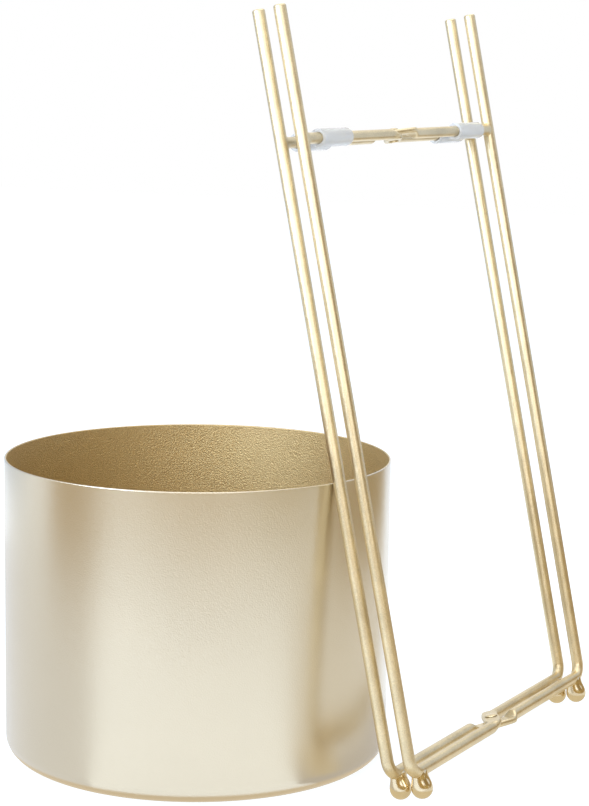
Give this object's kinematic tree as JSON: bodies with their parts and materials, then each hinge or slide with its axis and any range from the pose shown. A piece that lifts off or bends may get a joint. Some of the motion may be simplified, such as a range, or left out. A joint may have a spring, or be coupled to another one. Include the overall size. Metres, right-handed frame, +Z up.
{
  "type": "plant stand with pot",
  "caption": "Folding wire plant stand with ball feet and clear sleeves, folded flat and leaning on the rim of its round metal pot.",
  "frame": {"origin": "centre of the pot's flat bottom, on the surface that the pot and the stand's feet rest on", "axes": "+Z up; +X from the pot towards the feet of the leaning stand; +Y along the bottom rails of the folded stand, from its left legs to its right legs"},
  "size_m": [0.2488, 0.2869, 0.3864],
  "materials": {
    "pot_metal": "satin champagne-gold plated thin sheet steel",
    "rod_metal": "satin gold-plated steel rod",
    "foot_metal": "polished gold-plated steel ball",
    "rivet_metal": "gold-plated steel rivet",
    "sleeve_clear": "clear soft plastic tube"
  },
  "bodies": {
    "pot": {"pot_shell": "pot_metal"},
    "first_frame": {"first_frame_rod": "rod_metal", "first_frame_crossbar": "rod_metal", "first_frame_left_foot": "foot_metal", "first_frame_right_foot": "foot_metal", "first_frame_left_sleeve": "sleeve_clear", "first_frame_right_sleeve": "sleeve_clear", "lower_pivot_rivet": "rivet_metal", "upper_pivot_rivet": "rivet_metal"},
    "second_frame": {"second_frame_rod": "rod_metal", "second_frame_crossbar": "rod_metal", "second_frame_left_foot": "foot_metal", "second_frame_right_foot": "foot_metal", "second_frame_left_sleeve": "sleeve_clear", "second_frame_right_sleeve": "sleeve_clear"}
  },
  "joints": [
    {"name": "stand_set_out", "type": "hinge", "parent": "pot", "child": "first_frame", "pos_m": [0.2717, 0.0773, -1.31195], "axis": [0, 1, 0], "range_deg": [0, 12.13]},
    {"name": "frames_fold", "type": "hinge", "parent": "first_frame", "child": "second_frame", "pos_m": [0.13582, 0.0773, 0.01478], "axis": [-0.2102, 0, 0.9777], "range_deg": [0, 83.55]}
  ],
  "couplings": [
    {"joint": "frames_fold", "follows": "stand_set_out", "ratio": 6.886}
  ]
}
